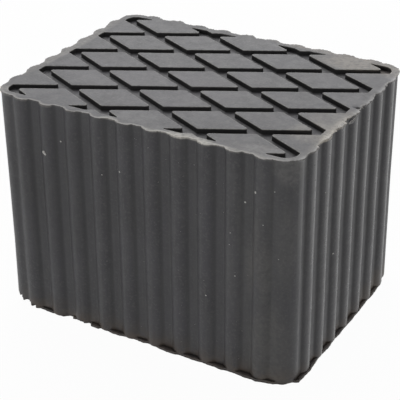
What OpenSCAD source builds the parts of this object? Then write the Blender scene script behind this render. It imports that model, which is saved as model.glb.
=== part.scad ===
// Solid rubber lifting block: fluted sides, a diamond tread on top, a flat base.
// Millimetres, +Z up. The origin is the centre of the base, X runs along the long side.

/* [Block] */
// Length over the ribs of the two end faces
length = 160; // [120:1:220]
// Width over the ribs of the two long faces
width = 122; // [90:1:180]
// Height from the floor to the tread
height = 114; // [40:1:160]
// Radius of the four plain corner columns, at the depth of the flutes
corner_r = 8.5; // [7:0.5:12]

/* [Flutes] */
// Ribs along each long face
ribs_long = 10; // [7:1:12]
// Ribs along each end face
ribs_end = 7; // [5:1:9]
// Height of the ribs on the long faces, over the flat lands between them
rib_h_long = 2.0; // [1:0.1:3]
// Height of the ribs on the end faces
rib_h_end = 1.7; // [1:0.1:3]
// Width of the flat land between two ribs
land_w = 3.4; // [2:0.1:5]
// Radius of the fillet at the foot of a rib
foot_r = 0.9; // [0.3:0.1:1.5]
// Width of the extra land between the outermost ribs and the corner columns
corner_land = 0.8; // [0.2:0.1:2]
// Straight steps in each half of a rib
rib_steps = 5; // [3:1:8]

/* [Tread] */
// Distance between two lozenges along the block
lozenge_pitch_x = 50; // [40:1:60]
// Distance between two lozenges across the block
lozenge_pitch_y = 25.6; // [20:0.2:30]
// Radius of the two sharp tips of each lozenge
tip_r = 1.1; // [0.5:0.1:2]
// Width of the grooves between the lozenges
groove_w = 4.5; // [3:0.1:7]
// Depth of the grooves
groove_depth = 2.4; // [1:0.1:5]
// Width of the plain rim at the two ends, from the crests of the ribs inwards
rim_end = 5.6; // [4:0.1:9]
// Width of the plain rim along the two long sides, from the crests of the ribs inwards
rim_side = 5.1; // [4:0.1:9]
// Radius of the groove field's four corners
rim_inner_r = 5.5; // [2:0.5:10]

/* [Moulding web] */
// Thickness of the web of rubber that the mould left across the feet of the flutes
web_t = 1.2; // [0.6:0.1:2]
// Radius of the web's four corners, just proud of the corner columns
web_corner_r = 13.5; // [10:0.5:16]
// Middle of the tear in the front web near the left corner, measured from the block's middle
corner_tear_at = -70; // [-74:1:-62]
// Length of that tear
corner_tear = 9; // [4:1:12]
// Middle of the second tear in the front web
front_tear_at = -38; // [-46:1:54]
// Length of the second tear
front_tear = 15; // [2:1:20]

/* [Hidden] */

// Depth that one cutter runs past the face it opens
OVERLAP = 1;
// Steps round each corner column
CORNER_STEPS = 10;
// Steps in the fillet at each foot of a rib
FOOT_STEPS = 2;
// Steps round each sharp tip of a lozenge
TIP_STEPS = 3;

// The plan without its ribs: the rounded rectangle that the flat lands lie on
plain_x = length - 2 * rib_h_end;
plain_y = width - 2 * rib_h_long;
straight_x = plain_x - 2 * corner_r;
straight_y = plain_y - 2 * corner_r;
field_x = length - 2 * rim_end;
field_y = width - 2 * rim_side;

// The grooves lie on the lines between the lozenges, and both slants have the same spacing
slant = atan2(lozenge_pitch_y, lozenge_pitch_x);
lozenge_w = lozenge_pitch_x * sin(slant) - groove_w;
half_lozenge = lozenge_w / 2 * [1 / sin(slant), 1 / cos(slant)];
columns = floor(field_x / lozenge_pitch_x + 1);
rows = floor(field_y / lozenge_pitch_y + 1);

// Section of one rib between two half lands, as tangent arcs: [along the face, outwards]
function half_rib(pitch) = (pitch - land_w) / 2;
function flank_angle(pitch, rib_h) = 2 * atan(rib_h / half_rib(pitch));
function rib_r(pitch, rib_h) = half_rib(pitch) / sin(flank_angle(pitch, rib_h)) - foot_r;
function foot_point(t) = foot_r * [sin(t), 1 - cos(t)];
function rib_section(pitch, rib_h) = let (
    flank = flank_angle(pitch, rib_h),
    crest_r = rib_r(pitch, rib_h)
) [
    for (i = [0 : FOOT_STEPS - 1]) [land_w / 2, 0] + foot_point(flank * i / FOOT_STEPS),
    for (i = [-rib_steps : rib_steps]) let (t = flank * i / rib_steps)
        [pitch / 2, rib_h] + crest_r * [sin(t), cos(t) - 1],
    for (i = [-FOOT_STEPS + 1 : 0])
        [pitch - land_w / 2, 0] + foot_point(flank * i / FOOT_STEPS)
];

// One face of ribs, laid from a start point in a direction, with the outside on its right
function along(start, turn, p) =
    start + p.x * [cos(turn), sin(turn)] + p.y * [sin(turn), -cos(turn)];
function ribbed_face(start, turn, straight, ribs, rib_h) =
    let (pitch = (straight - 2 * corner_land) / ribs) [
        for (k = [0 : ribs - 1]) for (p = rib_section(pitch, rib_h))
            along(start, turn, p + [corner_land + k * pitch, 0])
    ];
function corner_column(centre, turn) = [
    for (i = [0 : CORNER_STEPS]) let (t = turn + 90 * i / CORNER_STEPS)
        centre + corner_r * [sin(t), -cos(t)]
];

// The whole plan outline, counterclockwise from the left end of the front face
function fluted_outline() = let (sx = straight_x / 2, sy = straight_y / 2) concat(
    ribbed_face([-sx, -plain_y / 2], 0, straight_x, ribs_long, rib_h_long),
    corner_column([sx, -sy], 0),
    ribbed_face([plain_x / 2, -sy], 90, straight_y, ribs_end, rib_h_end),
    corner_column([sx, sy], 90),
    ribbed_face([sx, plain_y / 2], 180, straight_x, ribs_long, rib_h_long),
    corner_column([-sx, sy], 180),
    ribbed_face([-plain_x / 2, sy], 270, straight_y, ribs_end, rib_h_end),
    corner_column([-sx, -sy], 270)
);

// One lozenge of the tread: a rhombus whose two sharp tips are arcs tangent to its sides
function lozenge_outline() =
    let (
        tip_x = half_lozenge.x - tip_r / sin(slant),
        tip = [
            for (i = [0 : TIP_STEPS])
                let (t = (90 - slant) * (2 * i / TIP_STEPS - 1))
                    [tip_x + tip_r * cos(t), tip_r * sin(t)]
        ]
    )
    concat([[0, -half_lozenge.y]], tip, [[0, half_lozenge.y]], -tip);

module rounded_rectangle(x, y, r) {
    square([x - 2 * r, y], center = true);
    square([x, y - 2 * r], center = true);
    for (sx = [-1, 1], sy = [-1, 1])
        translate([sx * (x / 2 - r), sy * (y / 2 - r)])
            circle(r, $fn = 48);
}

// The grooves are what the lozenges leave of the field, so the outermost lozenges join the rim
module groove_field() {
    difference() {
        rounded_rectangle(field_x, field_y, rim_inner_r);
        for (i = [-columns : columns], j = [-rows : rows])
            if ((i + j) % 2 == 0)
                translate([i * lozenge_pitch_x / 2, j * lozenge_pitch_y / 2])
                    polygon(lozenge_outline());
    }
}

module tread_grooves() {
    translate([0, 0, height - groove_depth])
        linear_extrude(groove_depth + OVERLAP)
            groove_field();
}

module web_tear(at, tear_length) {
    translate([at - tear_length / 2, -width / 2 - OVERLAP])
        square([tear_length, rib_h_long + OVERLAP]);
}

// Thin web on the floor, out to the crests of the ribs, torn in two places in front
module moulding_web() {
    linear_extrude(web_t)
        difference() {
            rounded_rectangle(length, width, web_corner_r);
            web_tear(corner_tear_at, corner_tear);
            web_tear(front_tear_at, front_tear);
        }
}

// The block is one moulding: fluted body, sunken tread grooves and the web at its foot
module rubber_block() {
    color([0.27, 0.27, 0.28])
        union() {
            difference() {
                linear_extrude(height)
                    polygon(fluted_outline());
                tread_grooves();
            }
            moulding_web();
        }
}

rubber_block();
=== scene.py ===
import math

import bpy
import numpy as np
from mathutils import Matrix, Vector, noise
from mathutils.geometry import delaunay_2d_cdt


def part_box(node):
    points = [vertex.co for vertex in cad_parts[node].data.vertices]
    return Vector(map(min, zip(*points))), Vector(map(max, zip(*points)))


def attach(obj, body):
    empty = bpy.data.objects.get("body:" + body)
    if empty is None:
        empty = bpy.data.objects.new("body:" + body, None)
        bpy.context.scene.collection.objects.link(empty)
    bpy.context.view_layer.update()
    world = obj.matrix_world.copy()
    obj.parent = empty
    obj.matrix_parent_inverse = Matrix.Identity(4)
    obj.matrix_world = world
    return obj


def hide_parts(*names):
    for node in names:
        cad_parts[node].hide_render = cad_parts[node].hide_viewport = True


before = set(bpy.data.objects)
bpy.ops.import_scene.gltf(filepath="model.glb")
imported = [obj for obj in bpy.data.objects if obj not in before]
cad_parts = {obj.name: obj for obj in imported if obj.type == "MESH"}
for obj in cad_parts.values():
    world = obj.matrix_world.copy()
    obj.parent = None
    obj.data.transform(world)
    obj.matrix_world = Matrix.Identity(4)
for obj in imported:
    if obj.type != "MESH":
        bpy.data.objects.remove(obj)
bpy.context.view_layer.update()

# The viewpoint
# A long lens looks down past the front right corner from about 60 cm off. Its place and angles
# put the tread's lattice and the block's edges where the photograph has them.
MM = 0.001
PHOTO_PX = 400
FOCAL_PX = 1283.9
SENSOR_MM = 36.0
VIEW_FROM_MM = (276.94, -485.42, 352.61)
VIEW_AZIMUTH_DEG = 29.867
VIEW_DOWN_DEG = 28.510
VIEW_ROLL_DEG = -0.34

view_data = bpy.data.cameras.new("viewpoint")
view_data.sensor_width = SENSOR_MM
view_data.lens = SENSOR_MM * FOCAL_PX / PHOTO_PX
viewpoint = bpy.data.objects.new("viewpoint", view_data)
bpy.context.scene.collection.objects.link(viewpoint)
viewpoint.matrix_world = (
    Matrix.Translation(Vector(VIEW_FROM_MM) * MM)
    @ Matrix.Rotation(math.radians(VIEW_AZIMUTH_DEG), 4, "Z")
    @ Matrix.Rotation(math.radians(90 - VIEW_DOWN_DEG), 4, "X")
    @ Matrix.Rotation(math.radians(VIEW_ROLL_DEG), 4, "Z")
)
bpy.context.scene.camera = viewpoint
bpy.context.scene.view_settings.view_transform = "Standard"


# The ground and the light
# The block stands on a plain white table among large soft lights: four behind it, high and low,
# and two low ones at its front left and its right. The table and the room are white to the eye.
def linear(hex_colour):
    """An sRGB hex colour as linear RGBA."""
    channels = [int(hex_colour[i:i + 2], 16) / 255 for i in (1, 3, 5)]
    return [c / 12.92 if c <= 0.04045 else ((c + 0.055) / 1.055) ** 2.4 for c in channels] + [1]


def add_node(material, kind, inputs=None, **settings):
    """Adds a node to a material or world, sets its settings, and sets or links its inputs."""
    node = material.node_tree.nodes.new("ShaderNode" + kind)
    for name, value in settings.items():
        setattr(node, name, value)
    for name, value in (inputs or {}).items():
        if isinstance(value, bpy.types.NodeSocket):
            material.node_tree.links.new(value, node.inputs[name])
        else:
            node.inputs[name].default_value = value
    return node


def white_to_the_eye(material, shader, share):
    """Mixes plain white into a shader, for rays from the eye and those that gloss sends on."""
    path = add_node(material, "LightPath").outputs
    direct = add_node(material, "Math", {0: path["Is Camera Ray"], 1: path["Is Glossy Ray"]},
                      operation="MAXIMUM")
    seen = add_node(material, "Math", {0: direct.outputs[0], 1: path["Is Transmission Ray"]},
                    operation="MAXIMUM")
    amount = add_node(material, "Math", {0: seen.outputs[0], 1: share}, operation="MULTIPLY")
    white = add_node(material, "Emission", {"Color": (1, 1, 1, 1), "Strength": 1.0})
    return add_node(material, "MixShader", {
        0: amount.outputs[0], 1: shader.outputs[0], 2: white.outputs[0],
    })


ROOM_LEVEL = 0.05
room = bpy.data.worlds.new("white room")
room.use_nodes = True
room.node_tree.nodes.clear()
bpy.context.scene.world = room
dim = add_node(room, "Background", {"Color": (1, 1, 1, 1), "Strength": ROOM_LEVEL})
add_node(room, "OutputWorld", {"Surface": white_to_the_eye(room, dim, 1.0).outputs[0]})

TABLE_SIZE_M = 6.0
TABLE_WHITE_SHARE = 0.97
white_table = bpy.data.materials.new("white table")
white_table.use_nodes = True
white_table.node_tree.nodes.clear()
matt = add_node(white_table, "BsdfDiffuse", {"Color": linear("#f2f2f2")})
shown = white_to_the_eye(white_table, matt, TABLE_WHITE_SHARE)
add_node(white_table, "OutputMaterial", {"Surface": shown.outputs[0]})
table_mesh = bpy.data.meshes.new("ground")
half = TABLE_SIZE_M / 2
corners = [(-half, -half, 0), (half, -half, 0), (half, half, 0), (-half, half, 0)]
table_mesh.from_pydata(corners, [], [(0, 1, 2, 3)])
table_mesh.materials.append(white_table)
ground = bpy.data.objects.new("ground", table_mesh)
bpy.context.scene.collection.objects.link(ground)

LIGHT_DISTANCE_M = 2.0


def soft_light(name, azimuth_deg, elevation_deg, spread_deg, level):
    """A square soft light aimed at the block. Azimuth 0 is the side of the long front face, 90
    the right end. Its level is what it alone gives a white matt surface that faces it."""
    azimuth, elevation = math.radians(azimuth_deg), math.radians(elevation_deg)
    towards = Vector((
        math.sin(azimuth) * math.cos(elevation),
        -math.cos(azimuth) * math.cos(elevation),
        math.sin(elevation),
    ))
    data = bpy.data.lights.new(name, "AREA")
    data.size = 2 * LIGHT_DISTANCE_M * math.tan(math.radians(spread_deg) / 2)
    data.energy = level * (math.pi * LIGHT_DISTANCE_M) ** 2
    lamp = bpy.data.objects.new(name, data)
    lamp.location = towards * LIGHT_DISTANCE_M
    lamp.rotation_euler = towards.to_track_quat("Z", "Y").to_euler()
    bpy.context.scene.collection.objects.link(lamp)


soft_light("back left light", 236, 42, 36, 0.345)
soft_light("front left light", 335, 12, 34, 0.34)
soft_light("high back light", 200, 62, 36, 0.27)
soft_light("right light", 70, 14, 34, 0.20)
soft_light("low back light", 200, 16, 30, 0.15)
soft_light("back light", 188, 42, 36, 0.125)


# The fluted wall
# The block is one pressing of solid dark rubber, cured in a steel mould. Its four sides have
# round upright ribs with narrow flat lands between them, and plain round columns at the corners.
block_low, block_high = (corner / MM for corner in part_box("rubber_block"))
LENGTH = block_high.x - block_low.x
WIDTH = block_high.y - block_low.y
HEIGHT = block_high.z - block_low.z
CORNER_R = 8.5
RIBS_LONG = 10
RIBS_END = 7
RIB_H_LONG = 2.0
RIB_H_END = 1.7
LAND_W = 3.4
FOOT_R = 2.0
CORNER_LAND = 0.8
RIB_STEPS = 9
FOOT_STEPS = 4
LAND_STEPS = 4
CORNER_STEPS = 22
RIB_UNEVENNESS = 0.06
RIB_NOISE_STEPS = (3.1, 7.7, 0.5)
FIRST_FOOT_SHIFT = 0.7
# Painted shade runs up beside each rib, darkening it as a crease would: where it begins, is darkest
# and ends, measured on past the rib's far foot. On the end faces it lies on the near flank of the
# next rib.
CREASE_SHADE_LONG = (-4.2, -0.2, 0.5)
CREASE_SHADE_END = (2.0, 3.4, 7.0)
# The corner columns grow shiny between these angles of their turn, in radians, and more so higher
# up: heights in millimetres, and the shine there. The same share places the painted shade and the
# painted highlight of the ribs on them.
COLUMN_SHINE = (0.8, 1.25)
COLUMN_SHINE_HEIGHTS = (10, 75)
COLUMN_SHINE_LEVELS = (0.6, 1)


def rib_section(pitch, rib_h):
    """One rib between two half lands: distance along the face, and height over the lands."""
    half_rib = (pitch - LAND_W) / 2
    flank = 2 * math.atan(rib_h / half_rib)
    crest_r = half_rib / math.sin(flank) - FOOT_R
    land = [(LAND_W / 2 * i / LAND_STEPS, 0) for i in range(LAND_STEPS)]
    foot = [
        (LAND_W / 2 + FOOT_R * math.sin(t), FOOT_R * (1 - math.cos(t)))
        for t in (flank * i / FOOT_STEPS for i in range(FOOT_STEPS))
    ]
    crest = [
        (pitch / 2 + crest_r * math.sin(t), rib_h + crest_r * (math.cos(t) - 1))
        for t in (flank * i / RIB_STEPS for i in range(-RIB_STEPS, RIB_STEPS + 1))
    ]
    return land + foot + crest + [(pitch - s, h) for s, h in reversed(land[1:] + foot)]


def wall_columns():
    """The block's plan, anticlockwise from the left end of the front face. Each column of the
    wall has its point, the point under it on the line of the lands, the way out, its share of a
    rib's height or a corner's shine, and of the painted shade beside the ribs. The first rib starts a
    little early."""
    lands = np.array([LENGTH / 2 - RIB_H_END, WIDTH / 2 - RIB_H_LONG])
    straight = lands - CORNER_R
    columns = []
    for side in range(4):
        turn = side * math.pi / 2
        along = np.array([math.cos(turn), math.sin(turn)])
        out = np.array([along[1], -along[0]])
        on_end = side % 2 == 1
        ribs, rib_h = (RIBS_END, RIB_H_END) if on_end else (RIBS_LONG, RIB_H_LONG)
        half_length, to_face = (straight[1], lands[0]) if on_end else (straight[0], lands[1])
        pitch = 2 * (half_length - CORNER_LAND) / ribs
        start = -along * (half_length - CORNER_LAND) + out * to_face
        for k in range(ribs):
            noise_at = Vector((k * RIB_NOISE_STEPS[0], side * RIB_NOISE_STEPS[1], RIB_NOISE_STEPS[2]))
            uneven = 1 + RIB_UNEVENNESS * noise.noise(noise_at)
            far_foot = pitch - LAND_W / 2
            for s, h in rib_section(pitch, rib_h):
                early = FIRST_FOOT_SHIFT * max(0, 1 - 2 * s / pitch) if side == k == 0 else 0
                foot = start + along * (s + k * pitch - early)
                past_foot = s - far_foot if s > pitch / 2 else s + LAND_W / 2
                crease_shade = np.interp(past_foot, CREASE_SHADE_END if on_end else CREASE_SHADE_LONG, (0, 1, 0))
                columns.append([*(foot + out * h * uneven), *foot, *out, h / rib_h, crease_shade])
        centre = along * half_length + out * (to_face - CORNER_R)
        for i in range(CORNER_STEPS + 1):
            t = math.pi / 2 * i / CORNER_STEPS
            radial = out * math.cos(t) + along * math.sin(t)
            foot = centre + CORNER_R * radial
            columns.append([*foot, *foot, *radial, np.interp(t, COLUMN_SHINE, (0, 1)), 0])
    return np.array(columns)


def outward(loop):
    """Unit normals of a closed anticlockwise loop of points, pointing out of it."""
    run = np.roll(loop, -1, 0) - np.roll(loop, 1, 0)
    normal = np.stack([run[:, 1], -run[:, 0]], 1)
    return normal / np.linalg.norm(normal, axis=1, keepdims=True)


def unevenness(x, y, z, size):
    """Smooth noise from -1 to 1 whose swells are about size millimetres across. Where only the
    plan matters, z is a number that keeps one use of it apart from the others."""
    return noise.noise(Vector((x / size, y / size, z / size)))


columns = wall_columns()
plan_xy, plan_foot, plan_side = columns[:, :2], columns[:, 2:4], columns[:, 4:6]
plan_rib, plan_crease_shade = columns[:, 6], columns[:, 7]
plan_out = outward(plan_xy)
block_points, block_faces = [], []
# What the rubber's finish has to know at each point, from 0 to 1: the crest of a rib, the painted
# shade beside it as in a crease, painted shade and grime in hollows, at the foot and at tears, the
# trimmed outer edge, and the painted highlight on the lip of a lozenge.
block_marks = {"crest": [], "crease_shade": [], "grime": [], "outer_edge": [], "lip": []}


def add_point(x, y, z, **marks):
    """Adds a point of the block, with what the material has to know about it."""
    block_points.append((float(x), float(y), float(z)))
    for name, values in block_marks.items():
        values.append(float(marks.get(name, 0)))
    return len(block_points) - 1


def add_ring(points, z, **marks):
    """Adds a closed ring of points and returns their numbers. The height and the marks are one
    for all or one for each."""
    heights, *values = [np.broadcast_to(v, len(points)) for v in (z, *marks.values())]
    return [
        add_point(*p, h, **dict(zip(marks, own)))
        for p, h, *own in zip(points, heights, *values)
    ]


def join_rings(lower, upper):
    """Joins two rings of equal length, whose outside lies on the right of their direction."""
    for i in range(len(lower)):
        j = (i + 1) % len(lower)
        block_faces.append((lower[i], lower[j], upper[j], upper[i]))


# Where the web at the foot broke off along the front, the wall ends short of the table: from
# where to where, and how high. Each tear reaches back as far as the front strip. Elsewhere the
# wall's lower edge is rounded under, in rows: height, and distance drawn in.
TEARS = [
    (-LENGTH / 2, -74.3, 3.7), (-74.3, -72.0, 3.2), (-72.0, -71.2, 1.8), (-71.2, -70.4, 1.0),
    (-70.4, -68.6, 1.6), (-68.6, -65.4, 2.2), (-64.3, -61.7, 2.0), (-37.4, -33.2, 1.05),
]
TEAR_INSET = 3.0
TEAR_UNEVENNESS = 0.35
TEAR_UNEVENNESS_SIZE = 1.3
FRONT_STRIP = 11
WEB_T = 1.2
FOOT_ROWS = [
    (0, 0.9), (0.3, 0.5), (0.7, 0.25), (1.1, 0.12), (1.5, 0.05),
    (2.0, 0), (2.5, 0), (3.0, 0), (3.5, 0), (4.2, 0),
]
FOOT_RAG = 0.25
FOOT_RAG_SIZE = 1.6
FOOT_RAG_AT = 1.3
FOOT_RAG_REACH = 1.2


def torn(x, y):
    """How high the rubber is torn off at a point of the plan, or 0."""
    if y >= -WIDTH / 2 + FRONT_STRIP:
        return 0
    return max((high for start, end, high in TEARS if start < x < end), default=0)


# The upper edge was trimmed and is slightly ragged. Rows run up the wall, round the edge and a
# little way in over the rim: height, distance drawn in, and share of the trimmed edge.
ROW_STEP = 3.0
UNDER_EDGE = 2
UNDER_EDGE_ROWS = [(1.1, 0), (0.5, 0.1), (0, 0.7)]
EDGE_R = 0.22
EDGE_STEPS = 3
RIM_ROWS = [(0.5, 0.8), (1.0, 0.5), (1.6, 0)]
top_of_wall = HEIGHT - EDGE_R
foot_top = FOOT_ROWS[-1][0]
body_rows = round((top_of_wall - UNDER_EDGE - foot_top) / ROW_STEP)
body_step = (top_of_wall - UNDER_EDGE - foot_top) / body_rows
rows = [(z, inset, 0) for z, inset in FOOT_ROWS]
rows += [(foot_top + body_step * i, 0, 0) for i in range(1, body_rows + 1)]
rows += [(top_of_wall - down, 0, share) for down, share in UNDER_EDGE_ROWS]
rows += [
    (top_of_wall + EDGE_R * math.sin(t), EDGE_R * (1 - math.cos(t)), 1)
    for t in (math.pi / 2 * i / EDGE_STEPS for i in range(1, EDGE_STEPS + 1))
]
rows += [(HEIGHT, inset, share) for inset, share in RIM_ROWS]

# Below the upper edge the wall stands a little further in: by this much at some heights at the
# left end, at the front and the back of the right end, and at the two ends of the front.
WAIST_HEIGHTS = (0, 10, 34, 60, 106)
LEFT_WAIST = (0.85, 1.12, 1.5, 1.25, 0.75)
NEAR_RIGHT_WAIST = (0.55, 0.65, 0.7, 0.9, 0.98)
FAR_RIGHT_WAIST = (0.33, 0.45, 0.6, 0.95, 0.9)
FRONT_WAIST = (0.15, 1.0)
BACK_WAIST = 0.4
WAIST_FADE = 1.6


def waist(z):
    """How far the wall's columns are drawn in at a height, as shifts towards the middle."""
    left = np.interp(z, WAIST_HEIGHTS, LEFT_WAIST)
    near = np.interp(z, WAIST_HEIGHTS, NEAR_RIGHT_WAIST)
    far = np.interp(z, WAIST_HEIGHTS, FAR_RIGHT_WAIST)
    x_share, y_share = plan_foot[:, 0] / LENGTH + 0.5, plan_foot[:, 1] / WIDTH + 0.5
    in_x = np.where(plan_side[:, 0] > 0, near + (far - near) * y_share, left)
    front = FRONT_WAIST[0] + (FRONT_WAIST[1] - FRONT_WAIST[0]) * x_share
    in_y = np.where(plan_side[:, 1] < 0, front, BACK_WAIST)
    return -plan_side * np.stack([in_x, in_y], 1) * min(1, (HEIGHT - z) / WAIST_FADE)


# Marks in the upper edge: place, half width, and how far the edge is worn in there, or stands
# out where the number is negative.
EDGE_MARKS = [
    ((75.1, -56.4), 2.2, 0.9), ((66, -61), 4, -0.25), ((-54, -61), 4, -0.45), ((72, 61), 8, -0.1),
    ((-36, -61), 18, 0.3), ((20.5, -61), 5, 0.9), ((29.5, -61), 3.4, 0.9), ((35, 61), 30, -0.55),
    ((80, -47.5), 3.0, 1.15), ((80, -35), 4.2, 1.0), ((80, -26), 4.5, 1.3), ((80, -18.5), 2.5, 0.7),
    ((80, -14), 1.6, 0.8), ((80, -9), 2.2, 1.0), ((80, 1.2), 1.8, 0.7), ((80, 3.4), 1.5, 0.6),
    ((80, 6.8), 1.1, 0.9), ((80, 12), 3, 0.5), ((80, 14.2), 0.8, 0.5), ((80, 31), 2.5, 0.45),
    ((-80, 5), 50, 0.22), ((-80, -33), 2.5, 0.4), ((-80, 28), 6, 0.3), ((-80, 48), 2.5, 0.35),
    ((80, -42.5), 2.4, 0.7), ((80, 38.5), 4.5, 0.45), ((-15, -61), 3, 0.35), ((78.5, 55), 5, 0.35),
    ((21.5, 61), 1.6, 0.7), ((36, 61), 4, 0.4), ((49, 61), 1.2, 0.7), ((64, 61), 5, 0.3),
]
MOST_WORN = 1.3
# Flash that the trimming left over the flutes of the right end, at its front and its back.
END_FLASH = (0.15, 0.65)
# The way out of a flat side lies along an axis to at least this share, and a corner column's less.
ALONG_AXIS = 0.999


def edge_wear(x, y):
    """How far the upper edge is worn in at a point of the plan."""
    return sum(
        depth * math.exp(-(math.dist((x, y), at) / half_width) ** 2)
        for at, half_width, depth in EDGE_MARKS
    )


def end_flash():
    """How far the upper edge stands out over the flutes of the right end, column by column."""
    share = np.clip(plan_foot[:, 1] / WIDTH + 0.5, 0, 1)
    flash = END_FLASH[0] + (END_FLASH[1] - END_FLASH[0]) * share
    return np.where(plan_side[:, 0] > ALONG_AXIS, flash * (1 - plan_rib), 0)


# The wall sways a little over its whole height. Its uppermost part strays in and out with the
# ragged edge, more at the back and most at the right end, and is painted darker just above each tear.
SWAY = 0.12
SWAY_SIZE = 26
SWAY_STRETCH = 0.4
RAG = 0.38
RAG_SIZES = (3.2, 1.1, 0.6)
END_RAG = 0.7
BACK_RAG = 0.52
RAG_DEPTH = 1.5
DARK_ABOVE_TEAR_H = 0.5
RIM_SWELL = 0.12
RIM_SWELL_SIZE = 6
# Near the table the ribs are less rounded under than the flutes between them, and take less of the
# painted shade above the web. The corner columns are shielded nearly as much.
COLUMN_SHIELD = 0.8
CRISP_AT_TABLE = 0.15
CRISP_OVER_TABLE = 0.8
FOOT_SHADE_H = 0.7
FOOT_SHADE_OVER_WEB = 0.1
FLUTE_FOOT_SHADE = 0.9
RIB_FOOT_SHADE_LESS = 0.8

wall_rings = []
on_column = np.abs(plan_side).max(1) < ALONG_AXIS
shielded = np.where(on_column, COLUMN_SHIELD, plan_rib)
missing = np.array([torn(*p) for p in plan_foot])
ragged_tear = np.array([unevenness(*p, 50, TEAR_UNEVENNESS_SIZE) for p in plan_foot])
missing *= 1 + TEAR_UNEVENNESS * ragged_tear
rag = np.array([sum(unevenness(*p, 3, size) for size in RAG_SIZES) for p in plan_xy])
rough_edge = RAG + (END_RAG - RAG) * np.maximum(plan_side[:, 0], 0)
rough_edge += (BACK_RAG - RAG) * np.maximum(plan_side[:, 1], 0)
foot_rag = np.array([unevenness(*p, 8, FOOT_RAG_SIZE) for p in plan_xy])
rim_swell = np.array([unevenness(*p, 15, RIM_SWELL_SIZE) for p in plan_xy])
worn = np.array([edge_wear(*p) for p in plan_xy]) - end_flash()
edge_shift = np.maximum(rough_edge * rag - worn, -MOST_WORN)
for z, inset, share in rows:
    over_edge = (inset - EDGE_R) / (RIM_ROWS[-1][0] - EDGE_R) if z == HEIGHT else 0
    top_share = max(0, 1 - (HEIGHT - z) / RAG_DEPTH) * max(0, 1 - over_edge)
    foot_share = max(0, 1 - abs(z - FOOT_RAG_AT) / FOOT_RAG_REACH)
    sway = np.array([SWAY * unevenness(*p, z * SWAY_STRETCH, SWAY_SIZE) for p in plan_xy])
    crisp = CRISP_AT_TABLE if z == 0 else CRISP_OVER_TABLE
    rounded_under = inset * (1 - shielded * crisp if z < WEB_T else 1)
    drawn_in = np.where(z < missing, TEAR_INSET, rounded_under)
    dark_above_tear = (missing > 0) & (z < missing + DARK_ABOVE_TEAR_H)
    ring = plan_xy + plan_out * (sway + edge_shift * top_share - drawn_in)[:, None]
    ring = ring + waist(z)
    heights = z + FOOT_RAG * foot_rag * foot_share + RIM_SWELL * rim_swell * top_share
    near_web = 1 - abs(z - WEB_T - FOOT_SHADE_OVER_WEB) / FOOT_SHADE_H
    foot_shade_and_tear_dark = np.maximum(dark_above_tear, near_web * (FLUTE_FOOT_SHADE - RIB_FOOT_SHADE_LESS * shielded))
    column_shine = np.interp(z, COLUMN_SHINE_HEIGHTS, COLUMN_SHINE_LEVELS)
    shine = np.where(on_column, column_shine, 1) * plan_rib
    marks = {"crest": shine, "crease_shade": plan_crease_shade, "grime": foot_shade_and_tear_dark, "outer_edge": share}
    wall_rings.append(add_ring(ring, heights, **marks))
for lower, upper in zip(wall_rings, wall_rings[1:]):
    join_rings(lower, upper)


# The tread
# The mould presses two sets of slanting grooves into the top and leaves raised lozenges, with
# fine rounded edges and blunted sharp tips, inside a plain rim.
LOZENGE_PITCH_X = 50.0
LOZENGE_PITCH_Y = 25.6
GROOVE_W = 4.5
GROOVE_DEPTH = 2.4
RIM_END = 5.6
RIM_SIDE = 5.1
RIM_INNER_R = 5.5
TIP_R = 1.1
BLUNT_R = 0.6
GROOVE_TIP_R = 0.36
LIP_R = 0.22
LIP_STEPS = 3
FLAT_BORDER = 0.25
WALL_DRAFT = 0.08
FLOOR_FILLET = 0.2
POINT_SPACING = 2.6
CLEAR_OF_RINGS = 0.3
TOP_SWELL = 0.07
TOP_SWELL_SIZE = 18
GENTLE_BEND_DEG = 20
ARC_STEP_DEG = 22
LONGEST_REACH = 0.45


def round_corners(loop, left_r, right_r, tip_r=None):
    """Replaces each corner of a closed loop by an arc: one radius for left turns, one for right
    turns, and a third for left turns sharper than a right angle. Gentle bends stay."""
    gentle = math.radians(GENTLE_BEND_DEG)
    rounded = []
    for i, point in enumerate(loop):
        point = np.array(point)
        back, ahead = np.array(loop[i - 1]) - point, np.array(loop[(i + 1) % len(loop)]) - point
        shortest = min(np.linalg.norm(back), np.linalg.norm(ahead))
        back, ahead = back / np.linalg.norm(back), ahead / np.linalg.norm(ahead)
        turn = math.pi - math.acos(max(-1, min(1, back @ ahead)))
        if turn < gentle:
            rounded.append(point)
            continue
        sign = 1 if ahead[0] * back[1] - ahead[1] * back[0] > 0 else -1
        r = left_r if sign > 0 else right_r
        if sign > 0 and tip_r and turn > math.pi / 2:
            r = tip_r
        reach = min(r * math.tan(turn / 2), LONGEST_REACH * shortest)
        r = reach / math.tan(turn / 2)
        middle = (back + ahead) / np.linalg.norm(back + ahead)
        centre = point + middle * math.hypot(reach, r)
        first = point + back * reach - centre
        steps = max(2, math.ceil(math.degrees(turn) / ARC_STEP_DEG))
        for t in (sign * turn * k / steps for k in range(steps + 1)):
            rounded.append(centre + [first[0] * math.cos(t) - first[1] * math.sin(t),
                                     first[0] * math.sin(t) + first[1] * math.cos(t)])
    return rounded


def fine(loop, spacing=POINT_SPACING):
    """The same closed loop with extra points on its long edges."""
    points = []
    for a, b in zip(loop, loop[1:] + loop[:1]):
        count = max(1, math.ceil(np.linalg.norm(b - a) / spacing))
        points += [a + (b - a) * k / count for k in range(count)]
    return np.array(points)


def shifted(loop, to_left):
    """A closed loop moved sideways by a small distance, with mitred corners."""
    ahead = np.roll(loop, -1, 0) - loop
    ahead /= np.linalg.norm(ahead, axis=1, keepdims=True)
    left_ahead = np.stack([-ahead[:, 1], ahead[:, 0]], 1)
    left_back = np.roll(left_ahead, 1, 0)
    mitre = (left_ahead + left_back) / (1 + (left_ahead * left_back).sum(1))[:, None]
    return loop + mitre * to_left


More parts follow.
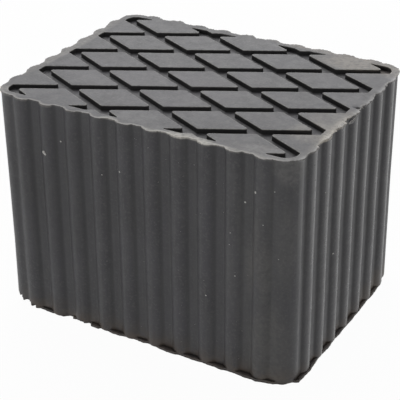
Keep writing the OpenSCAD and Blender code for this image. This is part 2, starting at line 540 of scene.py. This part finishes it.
slant = math.atan2(LOZENGE_PITCH_Y, LOZENGE_PITCH_X)
lozenge_w = LOZENGE_PITCH_X * math.sin(slant) - GROOVE_W
half_lozenge = np.array([lozenge_w / 2 / math.sin(slant), lozenge_w / 2 / math.cos(slant)])
sharp_lozenge = half_lozenge * [(0, -1), (1, 0), (0, 1), (-1, 0)]
lozenge = round_corners(sharp_lozenge, BLUNT_R, BLUNT_R, TIP_R)
field_half = np.array([LENGTH / 2 - RIM_END, WIDTH / 2 - RIM_SIDE])
half_pitch = np.array([LOZENGE_PITCH_X, LOZENGE_PITCH_Y]) / 2
columns_out, rows_out = (int(n) for n in (field_half + half_lozenge) // half_pitch)
lattice = [
    half_pitch * (i, j)
    for i in range(-columns_out, columns_out + 1) for j in range(-rows_out, rows_out + 1)
    if (i + j) % 2 == 0
]
whole = [c for c in lattice if (np.abs(c) + half_lozenge < field_half).all()]
cut = [
    c for c in lattice
    if (np.abs(c) - half_lozenge < field_half).all()
    and not (np.abs(c) + half_lozenge < field_half).all()
]


def rounded_rectangle(half, r, steps=10):
    """A rectangle round the middle of the block, with arcs at its corners."""
    turns = [(1, -1, -90), (1, 1, 0), (-1, 1, 90), (-1, -1, 180)]
    return [
        (sx * (half[0] - r) + r * math.cos(t), sy * (half[1] - r) + r * math.sin(t))
        for sx, sy, start in turns
        for t in (math.radians(start + 90 * k / steps) for k in range(steps + 1))
    ]


MERGE_WITHIN = 1e-6


def triangulated(loops, loose=()):
    """Triangulates closed loops together. Returns the points, those triangles that lie in the
    first loop alone, and the number that each point had among those of the loops."""
    points = [Vector(p) for loop in loops for p in loop] + [Vector(p) for p in loose]
    inside, first = [], 0
    for loop in loops:
        inside.append(list(range(first, first + len(loop))))
        first += len(loop)
    made, _, triangles, origins, _, homes = delaunay_2d_cdt(points, [], inside, 0, MERGE_WITHIN)
    return made, [t for t, home in zip(triangles, homes) if list(home) == [0]], origins


STRAIGHT_BEND = 1e-3


def field_edge():
    """The edge of the groove field, which the cut lozenges bite into, with the rim on its left."""
    loops = [rounded_rectangle(field_half, RIM_INNER_R)] + [[c + p for p in lozenge] for c in cut]
    points, triangles, _ = triangulated(loops)
    sides = {(t[i], t[(i + 1) % 3]) for t in triangles for i in range(3)}
    follow = {b: a for a, b in sides if (b, a) not in sides}
    start = max(follow, key=lambda n: points[n].length)
    loop = [start]
    while follow[loop[-1]] != start:
        loop.append(follow[loop[-1]])
    loop = [np.array(points[n]) for n in loop]
    bends = []
    for before, p, after in zip(loop[-1:] + loop[:-1], loop, loop[1:] + loop[:1]):
        a, b = p - before, after - p
        if abs(a[0] * b[1] - a[1] * b[0]) > STRAIGHT_BEND * np.linalg.norm(a) * np.linalg.norm(b):
            bends.append(p)
    return bends


# Small nicks in the rim: place, radius and depth. Rings of points carry their bowls.
NICKS = [((77.2, 5.0), 1.1, 1.5), ((79.3, 7.6), 1.0, 1.4), ((78.6, -10.4), 0.7, 0.9)]
NICK_RINGS = (0.4, 0.75, 1.1)
NICK_SIDES = 8


def swell(x, y):
    """How far the tread stands over or under its flat plane."""
    return TOP_SWELL * unevenness(x, y, 9, TOP_SWELL_SIZE)


UNDER_LIP = 0.15
FILLET_BEND = 0.3
# Painted shade darkens the groove walls, their fillets and the floor beside them.
GROOVE_WALL_SHADE = 0.9
GROOVE_FILLET_SHADE = 0.8
GROOVE_FLOOR_SHADE = 0.2


def press_down(loop):
    """Rings from the flat of a raised part, on the loop's left, over its rounded edge to the
    groove's floor, with a painted highlight on the edge and painted shade down the wall and on the
    floor beside it. Returns the ring that bounds the flat and the one that bounds the floor."""
    turns = [math.pi / 2 * k / LIP_STEPS for k in range(LIP_STEPS + 1)]
    bend = FLOOR_FILLET * FILLET_BEND
    steps = [(LIP_R + FLAT_BORDER, 0, 0, 0)]
    steps += [(LIP_R * (1 - math.sin(t)), LIP_R * (1 - math.cos(t)), 1, 0) for t in turns]
    steps += [
        (-WALL_DRAFT / 2, LIP_R + UNDER_LIP, 0, GROOVE_WALL_SHADE),
        (-WALL_DRAFT, GROOVE_DEPTH - FLOOR_FILLET, 0, GROOVE_WALL_SHADE),
        (-WALL_DRAFT - bend, GROOVE_DEPTH - bend, 0, GROOVE_FILLET_SHADE),
        (-WALL_DRAFT - FLOOR_FILLET, GROOVE_DEPTH, 0, GROOVE_FLOOR_SHADE),
    ]
    level = HEIGHT + np.array([swell(x, y) for x, y in loop])
    rings = [
        add_ring(shifted(loop, left), level - down, lip=lip, grime=grime)
        for left, down, lip, grime in steps
    ]
    for upper, lower in zip(rings, rings[1:]):
        join_rings(lower, upper)
    return rings[0], rings[-1]


def spread_points(half, spacing=POINT_SPACING):
    """Staggered points all over a rectangle, for the inside of the flats."""
    across, up = (int(2 * h / spacing) + 1 for h in half)
    return [
        (-half[0] + (i + 0.5 * (j % 2)) * spacing, -half[1] + j * spacing)
        for j in range(up) for i in range(across)
    ]


def fill_flat(rings, level, loose, faces_up=True):
    """Fills the flat inside the first ring and outside the others. Loose points that lie near a
    ring are left out."""
    loops = [[block_points[n][:2] for n in ring] for ring in rings]
    border = np.array([p for loop in loops for p in loop])
    clear = [p for p in loose if np.abs(border - p).sum(1).min() > POINT_SPACING * CLEAR_OF_RINGS]
    numbers = [n for ring in rings for n in ring]
    made, triangles, origins = triangulated(loops, clear)
    number_of = {}
    for n in sorted({n for t in triangles for n in t}):
        source = origins[n][0]
        if source < len(numbers):
            number_of[n] = numbers[source]
        else:
            z = level + (swell(*made[n]) if faces_up else 0)
            number_of[n] = add_point(*made[n], z)
    for t in triangles:
        corners = [number_of[n] for n in (t if faces_up else reversed(t))]
        block_faces.append(tuple(corners))


everywhere = spread_points((LENGTH / 2, WIDTH / 2))
nick_points = []
for (x, y), r, depth in NICKS:
    nick_points.append((x, y))
    nick_points += [
        (x + r * share * math.cos(t), y + r * share * math.sin(t))
        for share in NICK_RINGS for t in (2 * math.pi * k / NICK_SIDES for k in range(NICK_SIDES))
    ]
field_flat, field_floor = press_down(fine(round_corners(field_edge(), BLUNT_R, GROOVE_TIP_R)))
raised = [press_down(fine(lozenge) + c) for c in whole]
fill_flat([wall_rings[-1], field_flat[::-1]], HEIGHT, everywhere + nick_points)
for flat, floor in raised:
    fill_flat([flat], HEIGHT, everywhere)
groove_floor = [field_floor[::-1]] + [floor for flat, floor in raised]
fill_flat(groove_floor, HEIGHT - GROOVE_DEPTH, everywhere)
fill_flat([wall_rings[0]], 0, everywhere, faces_up=False)
for at, r, depth in NICKS:
    for n, (x, y, z) in enumerate(block_points):
        share = max(0, 1 - (math.dist((x, y), at) / r) ** 2) if z > HEIGHT - depth else 0
        if share:
            block_points[n] = (x, y, z - depth * share)
            block_marks["grime"][n] = max(block_marks["grime"][n], share)


def add_piece(name, points, faces, material, marks=None):
    """Makes a smooth mesh in millimetres into a piece of the rubber block. The marks are what the
    material has to know, with a value for each point."""
    mesh = bpy.data.meshes.new(name)
    mesh.from_pydata([Vector(p) * MM for p in points], [], faces)
    mesh.shade_smooth()
    mesh.materials.append(material)
    for mark, values in (marks or {}).items():
        mesh.attributes.new(mark, "FLOAT", "POINT").data.foreach_set("value", values)
    piece = bpy.data.objects.new(name, mesh)
    bpy.context.scene.collection.objects.link(piece)
    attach(piece, "root")
    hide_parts("rubber_block")


# The rubber
# Black-filled natural rubber, matt from the mould and a little polished on the ribs, with a faint
# grey bloom and dust on what faces up. It is pale where its edges were trimmed. Painted shade
# darkens its flutes, creases and hollows. Painted highlights lighten its edges, its lips and the
# upper ribs of the right end, and painted light lightens the top.
moulded_rubber = bpy.data.materials.new("moulded rubber")
moulded_rubber.use_nodes = True
moulded_rubber.node_tree.nodes.clear()
place = add_node(moulded_rubber, "TexCoord").outputs["Object"]
facing = add_node(moulded_rubber, "NewGeometry").outputs["Normal"]
upright = add_node(moulded_rubber, "SeparateXYZ", {0: facing}).outputs[2]
along_x, along_y, height = add_node(moulded_rubber, "SeparateXYZ", {0: place}).outputs
crest_mark, crease_shade_mark, grime_mark, edge_mark, lip_mark = (
    add_node(moulded_rubber, "Attribute", attribute_name=name).outputs["Fac"]
    for name in ("crest", "crease_shade", "grime", "outer_edge", "lip")
)

# Where the rubber's finishes and its painted light and shade lie: what each goes by, where it
# begins and where it is full.
FINISH_AND_PAINTED_LIGHT_SPANS = {
    "top": (upright, 0.6, 0.95),
    "edge from above": (upright, 0.4, 0.9),
    "walls": (upright, 0.5, 0.1),
    "right end": (along_x, 75.5 * MM, 77.8 * MM),
    "front rim": (along_y, -52 * MM, -57 * MM),
    "upper wall": (height, 45 * MM, 80 * MM),
    "foot": (height, 14 * MM, 0.0),
    "ground line": (height, 7 * MM, 0.0),
    "flutes": (crest_mark, 0.5, 0.0),
    "crests": (crest_mark, 0.7, 1.0),
}
on = {
    name: add_node(moulded_rubber, "MapRange", {
        "Value": value, "From Min": begins, "From Max": full,
    }, interpolation_type="SMOOTHSTEP").outputs[0]
    for name, (value, begins, full) in FINISH_AND_PAINTED_LIGHT_SPANS.items()
}


def mottle(size_mm, low, high, least=0.0, stretch=(1, 1, 1)):
    """Clouds about size_mm across: noise brought from the span low to high onto least to 1."""
    scaled = add_node(moulded_rubber, "VectorMath", {0: place, 1: stretch}, operation="MULTIPLY")
    cloud = add_node(moulded_rubber, "TexNoise", {
        "Vector": scaled.outputs[0], "Scale": 1 / (size_mm * MM), "Detail": 2.0,
    })
    return add_node(moulded_rubber, "MapRange", {
        "Value": cloud.outputs[0], "From Min": low, "From Max": high, "To Min": least,
    }, interpolation_type="SMOOTHSTEP").outputs[0]


PATCH_CORE = 0.45


def patch(centre_mm, reach_mm):
    """A soft oval patch: 1 in its core, 0 beyond its reach."""
    from_centre = add_node(moulded_rubber, "Mapping", {
        "Vector": place,
        "Scale": [1 / (r * MM) for r in reach_mm],
        "Location": [-c / r for c, r in zip(centre_mm, reach_mm)],
    }).outputs[0]
    distance = add_node(moulded_rubber, "VectorMath", {0: from_centre}, operation="LENGTH")
    return add_node(moulded_rubber, "MapRange", {
        "Value": distance.outputs["Value"], "From Min": 1.0, "From Max": PATCH_CORE,
    }, interpolation_type="SMOOTHSTEP").outputs[0]


def tinted(colour, tint, *shares):
    """A colour with a tint laid over it, as strongly as the shares multiply to."""
    strength = shares[0]
    for share in shares[1:]:
        strength = add_node(moulded_rubber, "Math", {
            0: strength, 1: share,
        }, operation="MULTIPLY").outputs[0]
    return add_node(moulded_rubber, "Mix", {
        0: strength, 6: colour, 7: linear(tint),
    }, data_type="RGBA").outputs[2]


# Bloom clouds the near black rubber. The mould's grain is finer than a picture of the whole block
# shows, so it is drawn about a millimetre across, with upright streaks on the walls.
colour = tinted(linear("#363538"), "#3e3d41", mottle(30, 0.35, 0.65))
colour = tinted(colour, "#454546", mottle(5, 0.45, 0.7), 0.5)
colour = tinted(colour, "#505050", mottle(1.1, 0.5, 0.72), 0.72)
streaks = mottle(1.6, 0.45, 0.75, stretch=(1, 1, 0.05))
colour = tinted(colour, "#4b4b4b", streaks, on["walls"], 0.5)
# Painted shade darkens the flutes between the ribs, and the creases beside them most; a painted
# highlight lightens the upper ribs of the right end.
colour = tinted(colour, "#2a2a2b", on["flutes"], on["walls"], 0.3)
colour = tinted(colour, "#171718", crease_shade_mark, on["walls"], 0.55)
colour = tinted(colour, "#757575", on["crests"], on["right end"], on["upper wall"], 0.45)
# The foot turns browner and lighter towards the table.
colour = tinted(colour, "#453c33", on["foot"], mottle(6, 0.3, 0.6), 0.5)
colour = tinted(colour, "#5e5248", on["ground line"], mottle(3, 0.3, 0.6, 0.4), 0.45)
# Fine dust lies on what faces up, wiped across the block, and painted light lightens the top with it.
colour = tinted(colour, "#4c4a4d", on["top"], mottle(9, 0.35, 0.7), 0.35)
colour = tinted(colour, "#696868", on["top"], mottle(1.2, 0.5, 0.72, stretch=(1, 0.45, 1)), 0.15)
colour = tinted(colour, "#5f5c61", on["top"], mottle(4, 0.4, 0.75, stretch=(1, 0.2, 1)), 0.15)
# A painted highlight lightens the lips of the lozenges. The trimmed edges are pale, and a painted
# highlight lightens them more, most of all at the right end and along the front rim.
colour = tinted(colour, "#85837f", lip_mark, mottle(1.5, 0.3, 0.6, 0.3), 0.7)
colour = tinted(colour, "#8a8783", edge_mark, mottle(1.3, 0.3, 0.6, 0.4), 0.32)
colour = tinted(colour, "#b5b2ad", edge_mark, on["right end"], mottle(1.1, 0.35, 0.6), 0.4)
colour = tinted(colour, "#bdbab6", edge_mark, on["front rim"], on["edge from above"],
                mottle(1.6, 0.3, 0.6, 0.5), 0.42)

# Dust, scuffs and stains that the eye can tell apart, and two patches of painted shade, in the
# order in which they lie over each other: middle, reach along each axis, strength and colour.
PATCHES = [
    ((78.6, -22, 114), (5.5, 34, 1.5), 0.33, "#a09a90"),
    ((78.9, -29, 114), (3.6, 13, 1.4), 0.55, "#cfc8ba"),
    ((25, -58.4, 114), (15, 5.5, 1.2), 0.4, "#c6c3bc"),
    ((25, -61, 114), (16, 2.0, 1.0), 0.2, "#cbc5ba"),
    ((32, -59.8, 114), (48, 3, 1.0), 0.27, "#d8d4cb"),
    ((28, -59, 114), (14, 4, 0.9), 0.28, "#d8d4cb"),
    ((-14, -59, 114), (6, 3, 0.9), 0.25, "#d8d4cb"),
    ((-76, -55, 114), (6, 6, 0.9), 0.2, "#c4c1bc"),
    ((-77.5, 8, 114), (5, 52, 1.8), 0.4, "#9a9690"),
    ((74, 58, 114), (9, 6, 1.8), 0.35, "#b5afa5"),
    ((78, 21, 114), (4, 15, 1.8), 0.5, "#2f2d2c"),
    ((69, 54, 111.6), (6.5, 6.5, 1.2), 0.4, "#7f756a"),
    ((75, -50, 114), (6, 8, 1.8), 0.3, "#3a3836"),
    ((78, -15, 114), (3.2, 13, 0.9), 0.4, "#d6cec2"),
    ((62, -55, 114), (18, 8, 2), 0.3, "#8c8a88"),
    ((56, 50, 114), (30, 10, 2), 0.3, "#857f76"),
    ((42, 60, 114), (44, 4.5, 2), 0.4, "#958d85"),
    ((76, 50, 114), (6, 9, 2), 0.3, "#968d86"),
    ((73, -12, 114), (15, 17, 2), 0.32, "#858078"),
    ((70, -28, 114), (13, 13, 2), 0.3, "#a39d93"),
    # Painted shadow under the overhanging rim of the right end.
    ((80.5, 34, 112.3), (3, 17, 2.4), 0.35, "#262627"),
    ((56, 52, 114), (21, 12, 2), 0.3, "#a39a8e"),
    ((-5, -50, 114), (14, 9, 2), 0.2, "#8c8b8c"),
    ((-71, -55, 114), (8, 9, 2), 0.25, "#8f8c88"),
    ((-50, -60.5, 114), (22, 1.8, 1.5), 0.3, "#b0aba2"),
    ((60, -60, 60), (24, 9, 62), 0.25, "#50504f"),
    ((56.5, -60, 58), (4, 4, 22), 0.4, "#605e5b"),
    ((64.5, -60, 58), (4.5, 4, 20), 0.3, "#605e5b"),
    ((74, -57, 74), (6, 7, 26), 0.3, "#5c5b59"),
    ((75, -57, 110), (11, 11, 11), 0.45, "#6b6a68"),
    ((68, -59, 16), (17, 9, 30), 0.24, "#66645f"),
    ((60, -60, 72), (3.5, 4, 20), 0.25, "#605e5b"),
    ((-50, -60, 72), (36, 6, 62), 0.33, "#1f1f20"),
    # Painted shade on the web at the front left.
    ((-55, -60.5, 0.4), (5.5, 4, 2.2), 0.6, "#1c1b1a"),
    ((79, 38, 2), (5, 30, 12), 0.35, "#655c52"),
    ((-15, -20, 114), (62, 30, 3), 0.3, "#5e5b60"),
]
patchiness = mottle(2.2, 0.3, 0.62, 0.5)
for centre, reach, share, tint in PATCHES:
    colour = tinted(colour, tint, patch(centre, reach), patchiness, share)
# The rim of the right end is crumbled by fine cracks. Painted shade darkens what lies deep, the foot
# over the web and the web beside the wall, and the wall just above each tear is painted darker.
cracks = mottle(0.8, 0.52, 0.62, stretch=(1.6, 1, 1))
colour = tinted(colour, "#3c3937", patch((78.4, -14, 114), (3.2, 32, 2)), on["top"], cracks, 0.6)
colour = tinted(colour, "#191817", grime_mark, 0.8)

# The ribs shine more than the flutes, those of the right end most, and dust dulls the top.
FLUTE_ROUGHNESS = 0.45
RIB_ROUGHNESS = 0.47
POLISHED_ROUGHNESS = 0.29
DUST_ROUGHNESS = 0.08
PATCHY_ROUGHNESS = 0.03
rib_roughness = add_node(moulded_rubber, "MapRange", {
    "Value": on["right end"], "To Min": RIB_ROUGHNESS, "To Max": POLISHED_ROUGHNESS,
})
sheen = add_node(moulded_rubber, "MapRange", {
    "Value": crest_mark, "To Min": FLUTE_ROUGHNESS, "To Max": rib_roughness.outputs[0],
})
dusty = add_node(moulded_rubber, "MapRange", {"Value": on["top"], "To Max": DUST_ROUGHNESS})
patchy = add_node(moulded_rubber, "MapRange", {
    "Value": mottle(4, 0.3, 0.7), "To Min": -PATCHY_ROUGHNESS, "To Max": PATCHY_ROUGHNESS,
})
dulled = add_node(moulded_rubber, "Math", {0: sheen.outputs[0], 1: dusty.outputs[0]}, operation="ADD")
roughness = add_node(moulded_rubber, "Math", {
    0: dulled.outputs[0], 1: patchy.outputs[0],
}, operation="ADD")

# The painted shade and grime take the gloss off, and the painted crease shade of the right end is
# less glossy than the rest.
RUBBER_IOR = 1.42
RUBBER_GLOSS = 0.5
CREASE_SHADE_GLOSS = 0.36
SHADE_AND_GRIME_GLOSS = 0.2
GRAIN_DEPTH_MM = 0.05
ROLL_DEPTH_MM = 0.12
end_crease_shade = add_node(moulded_rubber, "Math", {
    0: crease_shade_mark, 1: on["right end"],
}, operation="MULTIPLY")
full_gloss = add_node(moulded_rubber, "MapRange", {
    "Value": end_crease_shade.outputs[0], "To Min": RUBBER_GLOSS, "To Max": CREASE_SHADE_GLOSS,
}, interpolation_type="SMOOTHSTEP")
gloss = add_node(moulded_rubber, "MapRange", {
    "Value": grime_mark, "To Min": full_gloss.outputs[0], "To Max": SHADE_AND_GRIME_GLOSS,
})
grain = add_node(moulded_rubber, "Bump", {
    "Height": mottle(0.9, 0.2, 0.8), "Strength": 0.5, "Distance": GRAIN_DEPTH_MM * MM,
})
rolling = add_node(moulded_rubber, "Bump", {
    "Height": mottle(5, 0.2, 0.8), "Strength": 0.5, "Distance": ROLL_DEPTH_MM * MM,
    "Normal": grain.outputs[0],
})
rubber = add_node(moulded_rubber, "BsdfPrincipled", {
    "Base Color": colour, "Roughness": roughness.outputs[0], "IOR": RUBBER_IOR,
    "Specular IOR Level": gloss.outputs[0], "Normal": rolling.outputs[0],
})
add_node(moulded_rubber, "OutputMaterial", {"Surface": rubber.outputs[0]})

add_piece("moulded_block", block_points, block_faces, moulded_rubber, block_marks)


# The web at the foot
# Rubber that crept between the halves of the mould left a thin web on the table, across the
# feet of the flutes. It is cut off roughly along the line of the ribs and torn in front.
WEB_RAG = 0.17
WEB_RAG_SIZES = (2.4, 0.9)
WEB_SHORT_OF_RIBS = 0.9
WEB_SHORT_OF_LINE = 0.1
WEB_INSIDE = 4.5
WEB_T_SHARE = 0.92
WEB_T_UNEVENNESS = 0.12
WEB_T_UNEVENNESS_SIZE = 2.5
WEB_SHADOW = 0.5
WEB_BEVEL = 0.4
FACES_END = 0.5
# How far the edge of the web stands out from the line of the lands: along the front, round the
# front right corner by the degrees turned, and along the right end.
FRONT_WEB = [
    (-65, 0.1), (-61, 0.3), (-57.5, 0.6), (-55, 1), (-45.4, 1), (-43.7, -0.5), (-42.5, -1.3),
    (-40.6, -1.3), (-40.3, 0.4), (-38, -0.3), (-33, -0.3), (-32.4, 0.4), (-31.2, -0.4), (-29.6, -0.4),
    (-29.2, 1.4), (-24.5, 1.8), (-23.9, 0.8), (-20.4, 0.8), (-16, 1.6), (-13, 1.6), (-9.8, 0.95),
    (-6.7, 0.55), (-3.3, 0.45), (0.4, 0.95), (3.4, 0.35), (6.9, 0.55), (10.6, 1.55), (14.3, 1.85),
    (17.7, 1.95), (20.5, 1.25), (23.8, 1.15), (27.3, 1.55), (30.4, 1.45), (33.4, 1.05), (40.2, 1.55),
    (43.5, 1.95), (46.3, 1.15), (52.7, 1.35), (56.1, 1.95), (59.1, 1.5), (61.6, 2.05), (63.7, 1.5),
    (69.1, 0.05),
]
CORNER_WEB = [
    (0, -0.15), (12, -0.95), (24, -0.8), (44, -1.05), (56, -1.3), (68, -0.95), (75, 0.4), (83, 1.4),
    (90, 1),
]
END_WEB = [
    (-50, 1.1), (-46.5, 1.3), (-41, 1.7), (-37, 1.4), (-29.7, 1.0), (-26.2, 1.0), (-20.8, 1.6),
    (-16.5, 1.2), (-12.5, 1.0), (-6.6, 1.4), (-2.5, 1.1), (3.7, 1.45), (7.1, 1.55), (11.7, 1.25),
    (14.5, 1.5), (22.8, 1.2), (26.8, 1.15), (31.5, 1.5), (38.5, 1.2), (43.2, 0.9), (46.5, 0.45),
    (50, -0.7),
]


def rib_height(side):
    """The height of the ribs on the side of the block that faces this way."""
    return RIB_H_END if abs(side[0]) > FACES_END else RIB_H_LONG


def web_reach(foot, side, share):
    """How far the web stands out from the line of the lands at a column of the wall."""
    if side[1] < -ALONG_AXIS:
        return np.interp(foot[0], *zip(*FRONT_WEB))
    if side[0] > ALONG_AXIS:
        return np.interp(foot[1], *zip(*END_WEB))
    if side[0] > 0 > side[1]:
        return np.interp(math.degrees(math.atan2(side[0], -side[1])), *zip(*CORNER_WEB))
    if np.abs(side).max() < ALONG_AXIS:
        return -WEB_SHORT_OF_RIBS
    return rib_height(side) - WEB_SHORT_OF_LINE - WEB_SHORT_OF_RIBS * share


def web_section(foot, side, share):
    """The web's section at a column of the wall, from inside the block out along the table, up
    its edge and back over its top: distance from the line of the lands, height, and how dark it
    is painted: darkest beside the wall, as painted shade, and dark along its edge."""
    reach = web_reach(foot, side, share)
    reach += WEB_RAG * sum(unevenness(*foot, 30, size) for size in WEB_RAG_SIZES)
    if torn(*foot):
        reach = -TEAR_INSET
    top = WEB_T * (WEB_T_SHARE + WEB_T_UNEVENNESS * unevenness(*foot, 40, WEB_T_UNEVENNESS_SIZE))
    wall_at = rib_height(side) * share
    shadowed = min(wall_at - WEB_SHADOW, reach - 2 * WEB_BEVEL)
    clear = min(wall_at, reach - WEB_BEVEL)
    return [
        (-WEB_INSIDE, 0, 1), (reach - 0.05, 0, 0.7), (reach, 0.35, 0.6),
        (reach - 0.08, top - 0.25, 0.3), (reach - 0.3, top, 0.1), (clear, top + 0.05, 0.15),
        (shadowed, top, 0.85), (-WEB_INSIDE, top, 0.85),
    ]


web_points, web_faces, web_grime, web_rings = [], [], [], []
for foot, side, share in zip(plan_foot, plan_side, plan_rib):
    section = web_section(foot, side, share)
    first = len(web_points)
    web_points += [(*(foot + side * out), z) for out, z, grime in section]
    web_grime += [grime for out, z, grime in section]
    web_rings.append(range(first, first + len(section)))
for here, beyond in zip(web_rings, web_rings[1:] + web_rings[:1]):
    for i in range(len(here)):
        j = (i + 1) % len(here)
        web_faces.append((here[i], beyond[i], beyond[j], here[j]))
add_piece("foot_web", web_points, web_faces, moulded_rubber, {"grime": web_grime})


# Dried grit
# Specks of pale dried dirt stuck to the walls, the largest two millimetres across. They are
# squashed drops with an uneven outline: place along the wall, height and radius.
FRONT_GRIT = [
    (-50.1, 89.6, 1.05), (-49.1, 88.8, 0.7), (-41.5, 96.3, 0.42), (-8.6, 89.6, 0.45),
    (-18.5, 85.6, 0.3), (59.5, 96.6, 0.62), (53.8, 89.8, 0.5), (67.9, 98.3, 0.28),
    (35.4, 37.9, 0.33), (47.6, 74, 0.26), (50.2, 52.5, 0.3), (47.5, 68, 0.24),
    (-10.3, 90.2, 0.22), (63.5, 82, 0.24), (70.5, 66, 0.24),
]
END_GRIT = [(-17.7, 50.2, 0.45), (-39.2, 107.9, 0.26), (-30.4, 88, 0.24), (2.6, 80, 0.24)]
STRAY_GRIT = 45
STRAY_GRIT_R = (0.07, 0.14)
STRAY_HEIGHTS = (8, 108)
# Strays on the front gather round one place, and none lies beyond the ribs. Those on the right end
# are a third as many and lie anywhere on its ribs.
STRAY_MIDDLE, STRAY_SPREAD = 30, 24
STRAY_LIMIT_LONG = 68
STRAY_LIMIT_END = 48
# A speck is a few rings: how wide, and how far up its height. The first lies inside the rubber.
GRIT_H = 0.35
GRIT_SIDES = 9
GRIT_RINGS = ((1, -0.3), (0.85, 0.5), (0.45, 0.9))
GRIT_UNEVENNESS = 0.5
GRIT_UNEVENNESS_SIZE = 1.7
GRIT_NOISE_R = 3
GRIT_TEXTURE_MM = 0.5
GRIT_BUMP_MM = 0.05
GRIT_ROUGHNESS = 0.85
# A speck may also sit where a corner column begins to turn away from the face.
NEARLY_ALONG_AXIS = 0.99

# Dried grit: pale road dirt, quite matt and finely crumbled, from grey to nearly white.
dried_grit = bpy.data.materials.new("dried grit")
dried_grit.use_nodes = True
dried_grit.node_tree.nodes.clear()
grit_place = add_node(dried_grit, "TexCoord").outputs["Object"]
grit_cloud = add_node(dried_grit, "TexNoise", {
    "Vector": grit_place, "Scale": 1 / (GRIT_TEXTURE_MM * MM),
})
grit_colour = add_node(dried_grit, "Mix", {
    0: grit_cloud.outputs[0], 6: linear("#8d8a85"), 7: linear("#e4e3df"),
}, data_type="RGBA")
grit_bump = add_node(dried_grit, "Bump", {
    "Height": grit_cloud.outputs[0], "Distance": GRIT_BUMP_MM * MM,
})
grit_shade = add_node(dried_grit, "BsdfPrincipled", {
    "Base Color": grit_colour.outputs[2], "Roughness": GRIT_ROUGHNESS,
    "Normal": grit_bump.outputs[0],
})
add_node(dried_grit, "OutputMaterial", {"Surface": grit_shade.outputs[0]})

row_heights = np.array([block_points[ring[0]][2] for ring in wall_rings])
grit_points, grit_faces = [], []


def stick_grit(side, along, z, r):
    """Sticks one speck on the front wall, side 0, or on the right end, side 1."""
    way_out = (-plan_side[:, 1], plan_side[:, 0])[side]
    offset = np.where(way_out > NEARLY_ALONG_AXIS, np.abs(plan_foot[:, side] - along), np.inf)
    column = int(np.argmin(offset))
    row = int(np.argmin(np.abs(row_heights - z)))
    at = np.array([*block_points[wall_rings[row][column]][:2], z])
    out = np.array([*plan_out[column], 0])
    level = np.array([-out[1], out[0], 0])
    rings = []
    for reach, height_share in GRIT_RINGS:
        first = len(grit_points)
        for k in range(GRIT_SIDES):
            t = 2 * math.pi * k / GRIT_SIDES
            noise_at = (along + GRIT_NOISE_R * math.cos(t), z + GRIT_NOISE_R * math.sin(t), 7)
            uneven = 1 + GRIT_UNEVENNESS * unevenness(*noise_at, GRIT_UNEVENNESS_SIZE)
            shift = level * math.cos(t) + np.array([0, 0, math.sin(t)])
            grit_points.append(at + shift * r * reach * uneven + out * r * GRIT_H * height_share)
        rings.append(range(first, first + GRIT_SIDES))
    grit_faces.append(tuple(reversed(rings[0])))
    grit_points.append(at + out * r * GRIT_H)
    for lower, upper in zip(rings, rings[1:]):
        for k in range(GRIT_SIDES):
            j = (k + 1) % GRIT_SIDES
            grit_faces.append((lower[k], lower[j], upper[j], upper[k]))
    for k in range(GRIT_SIDES):
        grit_faces.append((rings[-1][k], rings[-1][(k + 1) % GRIT_SIDES], len(grit_points) - 1))


for side, specks in enumerate((FRONT_GRIT, END_GRIT)):
    for along, z, r in specks:
        stick_grit(side, along, z, r)
chance = np.random.default_rng(5)
for _ in range(STRAY_GRIT):
    along = STRAY_MIDDLE + STRAY_SPREAD * chance.standard_normal()
    z, r = chance.uniform(*STRAY_HEIGHTS), chance.uniform(*STRAY_GRIT_R)
    if abs(along) < STRAY_LIMIT_LONG:
        stick_grit(0, along, z, r)
for _ in range(STRAY_GRIT // 3):
    along = chance.uniform(-STRAY_LIMIT_END, STRAY_LIMIT_END)
    z, r = chance.uniform(*STRAY_HEIGHTS), chance.uniform(*STRAY_GRIT_R)
    stick_grit(1, along, z, r)
add_piece("grit_specks", grit_points, grit_faces, dried_grit)


# The loose flap
# On the right end a sliver of the trimmed edge came half off and hangs a little way down over
# the flutes, with a dark gap behind it.
FLAP_FROM, FLAP_TO = -11.2, -1.0
FLAP_STEPS = 18
FLAP_SIDES = 8
FLAP_W = 0.9
FLAP_T = 0.45
FLAP_INSET = 0.35
FLAP_DOWN = 0.5
FLAP_SAG = 0.9
FLAP_LEAN = 0.3
FLAP_POINTED = 0.6
FLAP_TIP = 0.03
FLAP_WANDER = (0.25, 0.3)
FLAP_WANDER_SIZES = (2.4, 1.8)
FLAP_PALE = 0.35

flap_points, flap_faces, flap_rings = [], [], []
for i in range(FLAP_STEPS + 1):
    share = i / FLAP_STEPS
    y = FLAP_FROM + (FLAP_TO - FLAP_FROM) * share
    size = math.sin(math.pi * min(1 - FLAP_TIP, max(FLAP_TIP, share))) ** FLAP_POINTED
    x = LENGTH / 2 - FLAP_INSET + FLAP_WANDER[0] * unevenness(0, y, 0, FLAP_WANDER_SIZES[0])
    z = HEIGHT - FLAP_DOWN - FLAP_SAG * size
    z += FLAP_WANDER[1] * unevenness(0, y, 9, FLAP_WANDER_SIZES[1])
    first = len(flap_points)
    for k in range(FLAP_SIDES):
        t = 2 * math.pi * k / FLAP_SIDES
        across, up = FLAP_T * size * math.cos(t), FLAP_W * size * math.sin(t)
        flap_points.append((x + across + FLAP_LEAN * up, y, z + up - FLAP_LEAN * across))
    flap_rings.append(list(range(first, first + FLAP_SIDES)))
for here, beyond in zip(flap_rings, flap_rings[1:]):
    for k in range(FLAP_SIDES):
        j = (k + 1) % FLAP_SIDES
        flap_faces.append((here[k], here[j], beyond[j], beyond[k]))
flap_faces += [tuple(flap_rings[0][::-1]), tuple(flap_rings[-1])]
flap_marks = {"outer_edge": [FLAP_PALE] * len(flap_points)}
add_piece("edge_flap", flap_points, flap_faces, moulded_rubber, flap_marks)
